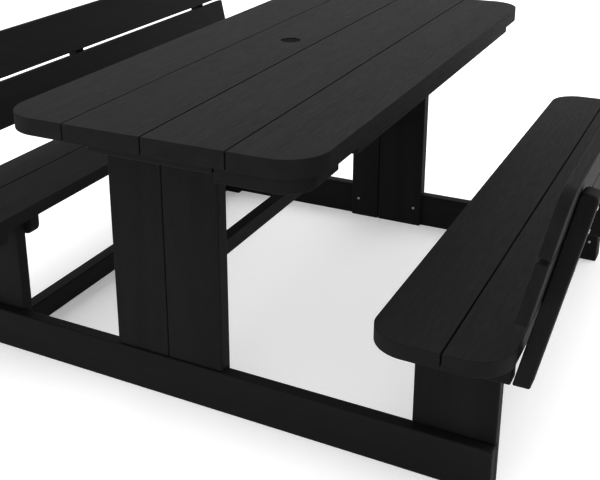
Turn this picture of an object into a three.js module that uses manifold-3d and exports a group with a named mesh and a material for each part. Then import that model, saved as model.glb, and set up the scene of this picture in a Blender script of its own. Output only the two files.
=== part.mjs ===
// A picnic table of plastic lumber boards with a bench and a slatted back on each long side.
// Millimetres, +Z up. X runs along the table, +Y is the left side, and the floor is z = 0.
// The origin is on the floor, under the middle of the two benches.
import * as THREE from "three";
import { mergeVertices } from "three/addons/utils/BufferGeometryUtils.js";
import Module from "manifold-3d";

const FIT = 0.3; // clearance where one board is notched round, or butted against, another
const GAP = 3; // drainage gap between neighbouring boards
const THICK = 38; // top planks, table legs, uprights and floor rails
const THIN = 32; // seat planks, bench legs and base boards
const CLEAT = 24; // flat cleats under the table top

const BENCH = { halfLength: 825, height: 387, inner: 460, innerPlank: 144, outerPlank: 110, corner: 75 };
const TABLE = { halfLength: 760, height: 692, x: -65, innerPlank: 184, outerPlank: 170, corner: 90 };
const HOLE = { radius: 26, x: 60, y: 72, recess: 2, clearance: 0.4 };
const BASE = { outer: 600, height: 101, halfWidth: 671 };
const TABLE_LEG = { outer: 595, nearBoards: [-74, 64.5, 203], farBoards: [-139, 1, 90.5] };
const BENCH_LEG = { outer: 577, inner: 502 };
const FLOOR_RAIL = { inner: 549, height: 57 };
const CENTRE_RAIL = { width: 28, height: 40, level: 312 };
const UNDER_BOARD = { inner: 151, outer: 335, end: 740, near: -482, shortNear: -575, corner: 65 };
const TOP_CLEAT = { outer: 735, innerWidth: 89, halfWidth: 145, middle: -105 };
const ARM = { inner: 482, outer: 706, depth: 58, round: 24, chamfer: 0 };
const LEG_CLEAT = { inner: 482, outer: 699, depth: 58, round: 24, chamfer: 30 };
const BACK = { lean: 12, y: 723, z: 476, board: 121, slit: 8, thickness: 22, corner: 38 };
const UPRIGHT = { x: 709, depth: 31, below: 177, top: 220, round: 14 };

const underTop = TABLE.height - THICK;
const underSeat = BENCH.height - THIN;
const baseInner = BASE.outer - THIN;

const wasm = await Module();
wasm.setup();

// Blackened lumber, a little lighter where the faces look up, and the cap of the umbrella hole.
const lumber = { color: 0x18181a, roughness: 0.62, metalness: 0 };
const capPlastic = { color: 0x101011, roughness: 0.5, metalness: 0 };

const picnicTable = new THREE.Group();

function addMesh(name, geometry, look = lumber, parent = picnicTable) {
  const mesh = new THREE.Mesh(geometry, new THREE.MeshStandardMaterial(look));
  mesh.name = name;
  parent.add(mesh);
  return mesh;
}

// A straight board between two opposite corners.
function addBoard(name, [x0, x1], [y0, y1], [z0, z1], parent = picnicTable) {
  const mesh = addMesh(name, new THREE.BoxGeometry(x1 - x0, y1 - y0, z1 - z0), lumber, parent);
  mesh.position.set((x0 + x1) / 2, (y0 + y1) / 2, (z0 + z1) / 2);
  return mesh;
}

// A rectangle whose corners are rounded by their own radii, anticlockwise from the low corner.
function roundedRectangle([x0, x1], [y0, y1], radii) {
  const corners = [
    [x0, y0, 1, 1],
    [x1, y0, -1, 1],
    [x1, y1, -1, -1],
    [x0, y1, 1, -1],
  ];
  const shape = new THREE.Shape();
  corners.forEach(([x, y, inX, inY], i) => {
    const r = radii[i];
    const from = Math.PI * (1 + i / 2);
    const centre = [x + inX * r, y + inY * r];
    const first = [centre[0] + r * Math.cos(from), centre[1] + r * Math.sin(from)];
    if (i === 0) shape.moveTo(...first);
    else shape.lineTo(...first);
    if (r > 0) shape.absarc(...centre, r, from, from + Math.PI / 2, false);
  });
  shape.closePath();
  return shape;
}

// A flat board of any outline in plan, from z0 up to z1.
function addFlatBoard(name, outline, [z0, z1], parent = picnicTable) {
  const geometry = new THREE.ExtrudeGeometry(outline, { depth: z1 - z0, bevelEnabled: false, curveSegments: 10 });
  const mesh = addMesh(name, geometry, lumber, parent);
  mesh.position.z = z0;
  return mesh;
}

// A board cut to an outline of [x, z] points and running along Y.
function addProfileAlongY(name, points, [y0, y1]) {
  const shape = new THREE.Shape(points.map(([x, z]) => new THREE.Vector2(x, z)));
  const geometry = new THREE.ExtrudeGeometry(shape, { depth: y1 - y0, bevelEnabled: false });
  geometry.rotateX(Math.PI / 2);
  const mesh = addMesh(name, geometry);
  mesh.position.y = y1;
  return mesh;
}

function asSolid(geometry) {
  const bare = geometry.clone();
  bare.deleteAttribute("normal");
  bare.deleteAttribute("uv");
  const merged = mergeVertices(bare, 1e-4);
  const vertProperties = merged.attributes.position.array;
  return new wasm.Manifold(new wasm.Mesh({ numProp: 3, vertProperties, triVerts: new Uint32Array(merged.index.array) }));
}

function asGeometry(solid) {
  const { vertProperties, triVerts } = solid.getMesh();
  const geometry = new THREE.BufferGeometry();
  geometry.setAttribute("position", new THREE.BufferAttribute(new Float32Array(vertProperties), 3));
  geometry.setIndex(new THREE.BufferAttribute(new Uint32Array(triVerts), 1));
  geometry.computeVertexNormals();
  return geometry;
}

// ---- Table top: four planks, rounded at the outer corners, one of them bored for an umbrella.
function addTopPlanks() {
  const xs = [TABLE.x - TABLE.halfLength, TABLE.x + TABLE.halfLength];
  const zs = [underTop, TABLE.height];
  for (const [side, sign] of [["left", 1], ["right", -1]]) {
    const inner = GAP / 2;
    const seam = inner + TABLE.innerPlank;
    const outer = [seam + GAP, seam + GAP + TABLE.outerPlank].map((y) => y * sign).sort((a, b) => a - b);
    const radii = sign > 0 ? [0, 0, TABLE.corner, TABLE.corner] : [TABLE.corner, TABLE.corner, 0, 0];
    addFlatBoard(`top_plank_outer_${side}`, roundedRectangle(xs, outer, radii), zs);
    const middle = [inner, seam].map((y) => y * sign).sort((a, b) => a - b);
    const plank = addBoard(`top_plank_inner_${side}`, xs, middle, zs);
    if (sign > 0) boreUmbrellaHole(plank);
  }
}

function boreUmbrellaHole(plank) {
  const drill = new THREE.CylinderGeometry(HOLE.radius, HOLE.radius, 2 * THICK, 48);
  drill.rotateX(Math.PI / 2);
  drill.translate(TABLE.x + HOLE.x - plank.position.x, HOLE.y - plank.position.y, 0);
  plank.geometry = asGeometry(asSolid(plank.geometry).subtract(asSolid(drill)));
}

function addUmbrellaCap() {
  const radius = HOLE.radius - HOLE.clearance;
  const cap = new THREE.CylinderGeometry(radius, radius, THICK - HOLE.recess, 48);
  cap.rotateX(Math.PI / 2);
  const mesh = addMesh("umbrella_hole_cap", cap, capPlastic);
  mesh.position.set(TABLE.x + HOLE.x, HOLE.y, underTop + (THICK - HOLE.recess) / 2);
}

// ---- Boards under the top that tie the planks together and hold the legs.
function addUnderTop() {
  const level = [underTop - THICK, underTop];
  const at = (a, b) => [TABLE.x + a, TABLE.x + b];
  const left = [UNDER_BOARD.inner, UNDER_BOARD.outer];
  const right = [-UNDER_BOARD.outer, -UNDER_BOARD.inner];
  const r = UNDER_BOARD.corner;
  const long = at(UNDER_BOARD.near, UNDER_BOARD.end);
  addFlatBoard("under_board_left", roundedRectangle(long, left, [0, 0, r, 0]), level);
  addFlatBoard("under_board_right", roundedRectangle(long, right, [0, r, 0, 0]), level);
  const short = at(-UNDER_BOARD.end, UNDER_BOARD.shortNear);
  addFlatBoard("under_board_near_corner", roundedRectangle(short, right, [r, 0, 0, 0]), level);

  const ys = [-TOP_CLEAT.halfWidth, TOP_CLEAT.halfWidth];
  const zs = [underTop - CLEAT, underTop];
  const outside = [TABLE_LEG.outer + FIT, TOP_CLEAT.outer];
  const legInner = TABLE_LEG.outer - THICK - FIT;
  const inside = [legInner - TOP_CLEAT.innerWidth, legInner];
  for (const [end, sign] of [["near", -1], ["far", 1]]) {
    const place = (xs) => xs.map((x) => TABLE.x + sign * x).sort((a, b) => a - b);
    addBoard(`${end}_outer_cleat`, place(outside), ys, zs);
    addBoard(`${end}_inner_cleat`, place(inside), ys, zs);
  }
  const middle = TOP_CLEAT.middle;
  addBoard("middle_cleat", at(middle - TOP_CLEAT.innerWidth / 2, middle + TOP_CLEAT.innerWidth / 2), ys, zs);
}

// ---- Floor frame: two base boards on edge, and the rails that tie them.
function addFloorFrame() {
  const ys = [-BASE.halfWidth, BASE.halfWidth];
  for (const [end, sign] of [["near", -1], ["far", 1]]) {
    const xs = [sign * baseInner, sign * BASE.outer].map((x) => TABLE.x + x).sort((a, b) => a - b);
    addBoard(`${end}_base_board`, xs, ys, [0, BASE.height]);
  }
  const reach = BENCH_LEG.outer - THIN - FIT;
  const rail = [FLOOR_RAIL.inner, FLOOR_RAIL.inner + THICK];
  for (const [side, sign] of [["left", 1], ["right", -1]]) {
    const across = rail.map((y) => y * sign).sort((a, b) => a - b);
    addBoard(`${side}_floor_rail`, [TABLE.x - reach, TABLE.x + reach], across, [0, FLOOR_RAIL.height]);
  }
}

// A leg board is notched: its outer part stands on the base board, its inner tongue reaches the floor.
function addNotchedLeg(name, sign, outer, thickness, ys, top) {
  const shoulder = BASE.height + FIT;
  const tongue = baseInner - FIT;
  const profile = [
    [outer - thickness, 0],
    [tongue, 0],
    [tongue, shoulder],
    [outer, shoulder],
    [outer, top],
    [outer - thickness, top],
  ].map(([x, z]) => [TABLE.x + sign * x, z]);
  return addProfileAlongY(name, profile, ys);
}

// ---- Table legs: two boards side by side at each end, tied by a rail along the middle.
function addTableLegs() {
  for (const [end, sign, marks] of [["near", -1, TABLE_LEG.nearBoards], ["far", 1, TABLE_LEG.farBoards]]) {
    const [right, seam, left] = marks;
    const half = 0.5;
    addNotchedLeg(`${end}_leg_right_board`, sign, TABLE_LEG.outer, THICK, [right, seam - half], underTop);
    addNotchedLeg(`${end}_leg_left_board`, sign, TABLE_LEG.outer, THICK, [seam + half, left], underTop);
  }
  const reach = TABLE_LEG.outer - THICK - FIT;
  const { width, height, level } = CENTRE_RAIL;
  addBoard("centre_rail", [TABLE.x - reach, TABLE.x + reach], [-width / 2, width / 2], [level, level + height]);
}

// ---- A bench: two seat planks, end legs, cross arms, uprights and two back boards.
function addSeat(side, sign) {
  const xs = [-BENCH.halfLength, BENCH.halfLength];
  const zs = [underSeat, BENCH.height];
  const seam = BENCH.inner + BENCH.innerPlank;
  const planks = {
    front: [BENCH.inner, seam],
    rear: [seam + GAP, seam + GAP + BENCH.outerPlank],
  };
  const r = BENCH.corner;
  for (const [place, range] of Object.entries(planks)) {
    const ys = range.map((y) => y * sign).sort((a, b) => a - b);
    const roundLow = (place === "front") === sign > 0;
    const radii = roundLow ? [r, r, 0, 0] : [0, 0, r, r];
    addFlatBoard(`${side}_seat_${place}_plank`, roundedRectangle(xs, ys, radii), zs);
  }
}

// A board on edge under the seat: its inner end is rounded below, its outer end may be chamfered.
function bracketOutline(sign, { inner, outer, depth, round, chamfer }) {
  const low = underSeat - depth;
  const shape = new THREE.Shape();
  const at = (y, z) => [y * sign, z];
  shape.moveTo(...at(outer, underSeat));
  shape.lineTo(...at(outer, low + chamfer));
  if (chamfer > 0) shape.lineTo(...at(outer - chamfer, low));
  shape.lineTo(...at(inner + round, low));
  shape.quadraticCurveTo(...at(inner, low), ...at(inner, low + round));
  shape.lineTo(...at(inner, underSeat));
  shape.closePath();
  return shape;
}

// A board cut to an outline in the Y-Z plane, from x0 to x1.
function addProfileAlongX(name, shape, [x0, x1]) {
  const geometry = new THREE.ExtrudeGeometry(shape, { depth: x1 - x0, bevelEnabled: false, curveSegments: 8 });
  geometry.applyMatrix4(new THREE.Matrix4().set(0, 0, 1, x0, 1, 0, 0, 0, 0, 1, 0, 0, 0, 0, 0, 1));
  return addMesh(name, geometry);
}

function addBenchSupports(side, sign) {
  for (const [end, endSign] of [["near", -1], ["far", 1]]) {
    const ys = [BENCH_LEG.inner, BASE.halfWidth].map((y) => y * sign).sort((a, b) => a - b);
    addNotchedLeg(`${side}_bench_${end}_leg`, endSign, BENCH_LEG.outer, THIN, ys, underSeat);
    const behind = BENCH_LEG.outer - THIN - FIT;
    const xs = [behind - THIN, behind].map((x) => TABLE.x + endSign * x).sort((a, b) => a - b);
    addProfileAlongX(`${side}_bench_${end}_leg_cleat`, bracketOutline(sign, LEG_CLEAT), xs);
  }
  for (const [place, step] of [["near", -1], ["middle", 0], ["far", 1]]) {
    const x = step * UPRIGHT.x;
    addProfileAlongX(`${side}_bench_${place}_arm`, bracketOutline(sign, ARM), [x - THICK / 2, x + THICK / 2]);
  }
}

// The back leans: inside this group, z runs up the slope of the boards and y points to the rear.
function addBack(side, sign) {
  const back = new THREE.Group();
  back.position.set(0, sign * BACK.y, BACK.z);
  back.rotation.x = -sign * THREE.MathUtils.degToRad(BACK.lean);
  picnicTable.add(back);
  const xs = [-BENCH.halfLength, BENCH.halfLength];
  const r = BACK.corner;
  const boards = [
    ["lower", 0, [0, 0, 0, 0]],
    ["upper", BACK.board + BACK.slit, [0, 0, r, r]],
  ];
  for (const [place, low, radii] of boards) {
    const outline = roundedRectangle(xs, [low, low + BACK.board], radii);
    addUprightBoard(`${side}_back_${place}_board`, outline, [0, BACK.thickness], sign, back);
  }
  const front = BACK.thickness + FIT;
  for (const [place, step] of [["near", -1], ["middle", 0], ["far", 1]]) {
    const x = step * UPRIGHT.x;
    const post = uprightOutline(front, front + UPRIGHT.depth, sign);
    const geometry = new THREE.ExtrudeGeometry(post, { depth: THICK, bevelEnabled: false, curveSegments: 8 });
    geometry.applyMatrix4(new THREE.Matrix4().set(0, 0, 1, x - THICK / 2, 1, 0, 0, 0, 0, 1, 0, 0, 0, 0, 0, 1));
    addMesh(`${side}_back_${place}_upright`, geometry, lumber, back);
  }
}

// An outline drawn in X and up-slope Z, given its thickness towards the rear.
function addUprightBoard(name, outline, [y0, y1], sign, parent) {
  const geometry = new THREE.ExtrudeGeometry(outline, { depth: y1 - y0, bevelEnabled: false, curveSegments: 8 });
  geometry.rotateX(Math.PI / 2);
  geometry.translate(0, sign > 0 ? y1 : -y0, 0);
  return addMesh(name, geometry, lumber, parent);
}

// An upright seen from its side: cut level at the foot, rounded over at the head.
function uprightOutline(front, rear, sign) {
  const { below, top, round } = UPRIGHT;
  const at = (y, z) => [y * sign, z];
  const levelRear = (rear - front) * Math.tan(THREE.MathUtils.degToRad(BACK.lean)) - below;
  const shape = new THREE.Shape();
  shape.moveTo(...at(front, -below));
  shape.lineTo(...at(rear, levelRear));
  shape.lineTo(...at(rear, top - round));
  shape.quadraticCurveTo(...at(rear, top), ...at(rear - round, top));
  shape.lineTo(...at(front + round, top));
  shape.quadraticCurveTo(...at(front, top), ...at(front, top - round));
  shape.closePath();
  return shape;
}

addTopPlanks();
addUmbrellaCap();
addUnderTop();
addFloorFrame();
addTableLegs();
for (const [side, sign] of [["left", 1], ["right", -1]]) {
  addSeat(side, sign);
  addBenchSupports(side, sign);
  addBack(side, sign);
}

export default picnicTable;
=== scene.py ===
"""Looks for the plastic lumber picnic table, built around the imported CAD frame. Metres."""
import math

import bmesh
import bpy
from mathutils import Matrix, Vector


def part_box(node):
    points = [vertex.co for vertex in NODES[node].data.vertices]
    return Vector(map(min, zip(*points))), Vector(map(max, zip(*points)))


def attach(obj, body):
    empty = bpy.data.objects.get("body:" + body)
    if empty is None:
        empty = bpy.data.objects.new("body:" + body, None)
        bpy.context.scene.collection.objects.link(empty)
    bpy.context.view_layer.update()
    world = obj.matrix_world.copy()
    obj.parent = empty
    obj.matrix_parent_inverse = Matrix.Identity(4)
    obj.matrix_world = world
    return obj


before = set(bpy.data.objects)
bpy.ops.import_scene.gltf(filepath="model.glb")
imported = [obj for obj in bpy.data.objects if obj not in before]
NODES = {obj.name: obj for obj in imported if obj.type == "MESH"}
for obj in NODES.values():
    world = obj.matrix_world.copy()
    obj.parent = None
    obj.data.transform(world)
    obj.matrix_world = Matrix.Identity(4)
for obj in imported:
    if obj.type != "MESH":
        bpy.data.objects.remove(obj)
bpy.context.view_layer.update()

CAP = "umbrella_hole_cap"

# ---- Camera: where it stands, where it looks, and how its picture is framed
CAMERA_PLACE = Vector((-2.290, -1.022, 1.305))
CAMERA_HEADING = math.radians(30.09)  # from +X towards +Y
CAMERA_DROP = math.radians(19.45)  # below level
CAMERA_ROLL = math.radians(1.52)  # clockwise, as the camera looks
SENSOR_WIDTH = 36.0  # mm
LENS = 59.274  # mm
LENS_SHIFT = (0.137667, -0.1625)  # as shares of the picture's width
CLIP_END = 100

# ---- Floor and light
FLOOR_REACH = 14.0
FLOOR_GREY = 0.92
FLOOR_ROUGHNESS = 0.9
FLOOR_GLOW = 0.25
SKY_STRENGTH = 1.0
SUN_STRENGTH = 1.9
SUN_SPREAD = math.radians(100)
SUN_TILT = (math.radians(8), math.radians(12), 0)

# ---- How the edges of the CAD nodes are eased
PLANK_EDGE = 0.0014
BOARD_EDGE = 0.0038
CAP_EDGE = 0.0012
EDGE_SEGMENTS = 3
SHARP_ANGLE = math.radians(32)
FLAT_ANGLE = math.radians(0.5)
WELD_REACH = 0.00005
FACE_WEIGHT = 100

# ---- Screws
SCREW_RADIUS = 0.0042
SCREW_DOME = 0.0014
FOOT_SCREW_HEIGHT = 0.058
LEG_INSET = 0.023
CLEAT_SCREW_LINES = (-0.105, -0.040, 0.040, 0.105)

# ---- The leaning backs, measured up the slope of each upright's rear face
BACK_LEAN = math.radians(12)
UPRIGHT_DEPTH = 0.031
LOWER_BOARD_RISE = 0.17041  # from the upright's foot to the bottom of the lower board
BACK_SCREW_RISES = (0.030, 0.088, 0.150, 0.194)  # from the bottom of the lower board

# ---- Colours and roughness
LUMBER_DARK = (0.0020, 0.0020, 0.0021, 1)
LUMBER_LIGHT = (0.0042, 0.0042, 0.0043, 1)
LUMBER_FLECK = (0.010, 0.010, 0.010, 1)
LUMBER_ROUGH = (0.66, 0.80)
LUMBER_GLOSS = 0.10
CAP_DARK = (0.0075, 0.0075, 0.0077, 1)
CAP_LIGHT = (0.0115, 0.0115, 0.0118, 1)
CAP_ROUGH = (0.85, 0.95)
STEEL_DARK = (0.25, 0.25, 0.26, 1)
STEEL_LIGHT = (0.36, 0.36, 0.37, 1)
STEEL_ROUGH = (0.28, 0.42)
ALONG = {"x": (0.05, 1, 1), "y": (1, 0.05, 1), "z": (1, 1, 0.05)}  # draws the grain out along one axis


def make_camera():
    data = bpy.data.cameras.new("camera")
    camera = bpy.data.objects.new("camera", data)
    bpy.context.collection.objects.link(camera)
    forward = Vector((
        math.cos(CAMERA_DROP) * math.cos(CAMERA_HEADING),
        math.cos(CAMERA_DROP) * math.sin(CAMERA_HEADING),
        -math.sin(CAMERA_DROP),
    ))
    side = forward.cross(Vector((0, 0, 1))).normalized()
    up = side.cross(forward)
    roll = Matrix.Rotation(CAMERA_ROLL, 3, forward)
    side, up = roll @ side, roll @ up
    axes = Matrix((side, up, -forward)).transposed()
    camera.matrix_world = Matrix.Translation(CAMERA_PLACE) @ axes.to_4x4()
    data.sensor_width = SENSOR_WIDTH
    data.lens = LENS
    data.shift_x, data.shift_y = LENS_SHIFT
    data.clip_end = CLIP_END
    bpy.context.scene.camera = camera


def make_stage():
    """White surroundings, a pale floor and one wide, soft light overhead."""
    world = bpy.data.worlds.new("studio")
    world.use_nodes = True
    back = world.node_tree.nodes["Background"]
    back.inputs["Color"].default_value = (1, 1, 1, 1)
    back.inputs["Strength"].default_value = SKY_STRENGTH
    bpy.context.scene.world = world
    bpy.context.scene.view_settings.view_transform = "Standard"

    mesh = bpy.data.meshes.new("floor")
    corners = [(x * FLOOR_REACH, y * FLOOR_REACH, 0) for x, y in ((-1, -1), (1, -1), (1, 1), (-1, 1))]
    mesh.from_pydata(corners, [], [(0, 1, 2, 3)])
    floor = bpy.data.objects.new("floor", mesh)
    bpy.context.collection.objects.link(floor)
    paper = bpy.data.materials.new("pale_floor")
    paper.use_nodes = True
    shader = paper.node_tree.nodes["Principled BSDF"]
    shader.inputs["Base Color"].default_value = (FLOOR_GREY, FLOOR_GREY, FLOOR_GREY, 1)
    shader.inputs["Roughness"].default_value = FLOOR_ROUGHNESS
    shader.inputs["Emission Color"].default_value = (1, 1, 1, 1)
    shader.inputs["Emission Strength"].default_value = FLOOR_GLOW
    mesh.materials.append(paper)

    sun = bpy.data.lights.new("overhead", "SUN")
    sun.energy = SUN_STRENGTH
    sun.angle = SUN_SPREAD
    overhead = bpy.data.objects.new("overhead", sun)
    bpy.context.collection.objects.link(overhead)
    overhead.rotation_euler = SUN_TILT


# ---- Materials
class Graph:
    """A material's nodes, added one at a time and wired by socket name."""

    def __init__(self, name):
        self.material = bpy.data.materials.new(name)
        self.material.use_nodes = True
        self.tree = self.material.node_tree
        self.shader = self.tree.nodes["Principled BSDF"]

    def add(self, kind, inputs=None, **settings):
        node = self.tree.nodes.new(kind)
        for key, value in settings.items():
            setattr(node, key, value)
        for key, value in (inputs or {}).items():
            self.feed(node, key, value)
        return node

    def feed(self, node, key, value):
        if isinstance(value, bpy.types.NodeSocket):
            self.tree.links.new(value, node.inputs[key])
        else:
            node.inputs[key].default_value = value

    def stretch(self, coords, scale):
        node = self.add("ShaderNodeMapping", {"Vector": coords})
        node.inputs["Scale"].default_value = scale
        return node.outputs["Vector"]

    def noise(self, vector, scale, detail=3.0, roughness=0.55):
        settings = {"Vector": vector, "Scale": scale, "Detail": detail, "Roughness": roughness}
        return self.add("ShaderNodeTexNoise", settings).outputs["Fac"]

    def ramp(self, factor, low, high, start=0.3, end=0.7):
        node = self.add("ShaderNodeMapRange", {
            "Value": factor, "From Min": start, "From Max": end, "To Min": low, "To Max": high,
        })
        return node.outputs["Result"]

    def mix(self, factor, first, second):
        node = self.add("ShaderNodeMix", {"Factor": factor, "A": first, "B": second}, data_type="RGBA")
        return node.outputs["Result"]

    def bump(self, height, strength, distance, normal=None):
        node = self.add("ShaderNodeBump", {"Height": height, "Strength": strength, "Distance": distance})
        if normal is not None:
            self.feed(node, "Normal", normal)
        return node.outputs["Normal"]


def lumber(along):
    """Black plastic lumber: fine combed grain along the board, soft cloudy tone, a little pitted."""
    g = Graph("lumber_along_" + along)
    coords = g.add("ShaderNodeTexCoord").outputs["Object"]
    drawn_out = g.stretch(coords, ALONG[along])
    streaks = g.noise(drawn_out, 420.0, 4.0, 0.6)
    clouds = g.noise(drawn_out, 22.0, 3.0, 0.55)
    speckle = g.noise(coords, 900.0, 2.0, 0.6)
    tone = g.mix(g.ramp(clouds, 0.0, 1.0), LUMBER_DARK, LUMBER_LIGHT)
    flecked = g.mix(g.ramp(speckle, 0.0, 0.35, 0.45, 0.75), tone, LUMBER_FLECK)
    combed = g.bump(streaks, 0.35, 0.0006)
    pitted = g.bump(speckle, 0.20, 0.0004, combed)
    g.feed(g.shader, "Base Color", flecked)
    g.feed(g.shader, "Roughness", g.ramp(streaks, *LUMBER_ROUGH))
    g.feed(g.shader, "Normal", g.bump(clouds, 0.15, 0.0010, pitted))
    g.feed(g.shader, "Specular IOR Level", LUMBER_GLOSS)
    return g.material


def cap_plastic():
    """The umbrella cap: matt moulded plastic, finely textured all over."""
    g = Graph("cap_plastic")
    coords = g.add("ShaderNodeTexCoord").outputs["Object"]
    fine = g.noise(coords, 600.0, 2.0)
    g.feed(g.shader, "Base Color", g.mix(g.ramp(fine, 0.0, 1.0), CAP_DARK, CAP_LIGHT))
    g.feed(g.shader, "Roughness", g.ramp(fine, *CAP_ROUGH))
    g.feed(g.shader, "Normal", g.bump(fine, 0.12, 0.0004))
    g.feed(g.shader, "Specular IOR Level", 0.0)
    return g.material


def stainless():
    """Brushed stainless steel screw heads."""
    g = Graph("stainless")
    coords = g.add("ShaderNodeTexCoord").outputs["Object"]
    brushed = g.noise(g.stretch(coords, (1, 1, 12)), 900.0, 2.0)
    g.feed(g.shader, "Base Color", g.mix(brushed, STEEL_DARK, STEEL_LIGHT))
    g.feed(g.shader, "Roughness", g.ramp(brushed, *STEEL_ROUGH))
    g.feed(g.shader, "Metallic", 1.0)
    g.feed(g.shader, "Normal", g.bump(brushed, 0.1, 0.0002))
    return g.material


def grain_of(node):
    """The axis that a board's grain runs along: its longest side."""
    low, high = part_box(node)
    sides = [high[i] - low[i] for i in range(3)]
    return "xyz"[sides.index(max(sides))]


def edge_of(name):
    """How far a node's edges are eased: less on the planks, so that the seams between them stay narrow."""
    if name == CAP:
        return CAP_EDGE
    return PLANK_EDGE if "plank" in name else BOARD_EDGE


def finish_nodes(materials):
    """Gives each CAD node its material, eased edges and smooth shading."""
    for name, node in NODES.items():
        node.data.materials.clear()
        node.data.materials.append(materials["cap" if name == CAP else grain_of(name)])
        weld = node.modifiers.new("weld", "WELD")
        weld.merge_threshold = WELD_REACH
        flats = node.modifiers.new("flats", "DECIMATE")
        flats.decimate_type = "DISSOLVE"
        flats.angle_limit = FLAT_ANGLE
        bevel = node.modifiers.new("edges", "BEVEL")
        bevel.width = edge_of(name)
        bevel.segments = EDGE_SEGMENTS
        bevel.limit_method = "ANGLE"
        bevel.angle_limit = SHARP_ANGLE
        normals = node.modifiers.new("normals", "WEIGHTED_NORMAL")
        normals.weight = FACE_WEIGHT
        node.data.shade_smooth()


# ---- Screws
def screw_mesh(material):
    """A pan head with a star drive recess, lying on the X-Y plane and facing +Z."""
    mesh = bpy.data.meshes.new("screw_head")
    bm = bmesh.new()
    sides = 24
    star = [0.36 if i % 4 < 2 else 0.24 for i in range(sides)]
    # each ring's radii as shares of the head's radius, and its height as a share of the dome's
    rings = [
        ([1.0] * sides, 0.0),
        ([0.97] * sides, 0.35),
        ([0.80] * sides, 0.80),
        ([0.55] * sides, 1.0),
        (star, 1.0),
        ([s * 0.9 for s in star], 0.25),
    ]
    loops = []
    for scales, height in rings:
        loop = []
        for i, scale in enumerate(scales):
            turn = 2 * math.pi * i / sides
            radius = SCREW_RADIUS * scale
            loop.append(bm.verts.new((radius * math.cos(turn), radius * math.sin(turn), SCREW_DOME * height)))
        loops.append(loop)
    for lower, upper in zip(loops, loops[1:]):
        for i in range(sides):
            j = (i + 1) % sides
            bm.faces.new((lower[i], lower[j], upper[j], upper[i]))
    bm.faces.new(loops[-1])
    bm.faces.new(list(reversed(loops[0])))
    bm.to_mesh(mesh)
    bm.free()
    mesh.materials.append(material)
    for face in mesh.polygons:
        face.use_smooth = len(face.vertices) == 4
    return mesh


def place_screws(group, places, direction, head):
    """One piece for each group of screws, made of a head at each place."""
    turn = Vector(direction).to_track_quat("Z", "Y").to_matrix().to_4x4()
    bm = bmesh.new()
    for place in places:
        before = len(bm.verts)
        bm.from_mesh(head)
        bm.verts.ensure_lookup_table()
        bmesh.ops.transform(bm, matrix=Matrix.Translation(place) @ turn, verts=bm.verts[before:])
    mesh = bpy.data.meshes.new(group)
    bm.to_mesh(mesh)
    bm.free()
    mesh.materials.append(head.materials[0])
    piece = bpy.data.objects.new(group, mesh)
    bpy.context.collection.objects.link(piece)
    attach(piece, "root")


def leg_screws(head):
    """Screws through each leg's foot into the base board: two in a bench leg, one in a table leg board."""
    for name in NODES:
        if "leg" not in name or "cleat" in name:
            continue
        low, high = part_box(name)
        inset = {"left": high[1] - LEG_INSET, "right": low[1] + LEG_INSET}
        if name.endswith("board"):
            sides = ["left" if "left_board" in name else "right"]
        else:
            sides = ["left", "right"]
        x, inward = (low[0], -1) if "far" in name else (high[0], 1)
        places = [Vector((x, inset[side], FOOT_SCREW_HEIGHT)) for side in sides]
        place_screws("screws_" + name, places, (inward, 0, 0), head)


def back_screws(head):
    """Screws through each upright into the two back boards, driven from the rear."""
    for side, sign in (("left", 1), ("right", -1)):
        outward = Vector((0, sign * math.cos(BACK_LEAN), -math.sin(BACK_LEAN)))
        slope = Vector((0, sign * math.sin(BACK_LEAN), math.cos(BACK_LEAN)))
        for place in ("near", "middle", "far"):
            low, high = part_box(side + "_back_" + place + "_upright")
            front = min(abs(low[1]), abs(high[1]))
            rear = sign * (front + UPRIGHT_DEPTH / math.cos(BACK_LEAN))
            foot = Vector(((low[0] + high[0]) / 2, rear, low[2]))
            places = [foot + slope * (LOWER_BOARD_RISE + rise) for rise in BACK_SCREW_RISES]
            place_screws("screws_" + side + "_back_" + place, places, outward, head)


def underside_screws(head):
    """Pairs of screws from below, through each cleat under the table top (the bench cleats get none) into
    every plank above it.
    """
    for name in NODES:
        if not name.endswith("cleat") or "bench" in name:
            continue
        low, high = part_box(name)
        middle = (low[0] + high[0]) / 2
        reach = (high[0] - low[0]) / 4
        places = []
        for y in CLEAT_SCREW_LINES:
            places += [Vector((middle - reach, y, low[2])), Vector((middle + reach, y, low[2]))]
        place_screws("screws_" + name, places, (0, 0, -1), head)


make_camera()
make_stage()
finishes = {axis: lumber(axis) for axis in "xyz"}
finishes["cap"] = cap_plastic()
finish_nodes(finishes)
head = screw_mesh(stainless())
leg_screws(head)
back_screws(head)
underside_screws(head)
bpy.data.meshes.remove(head)

bpy.context.view_layer.update()
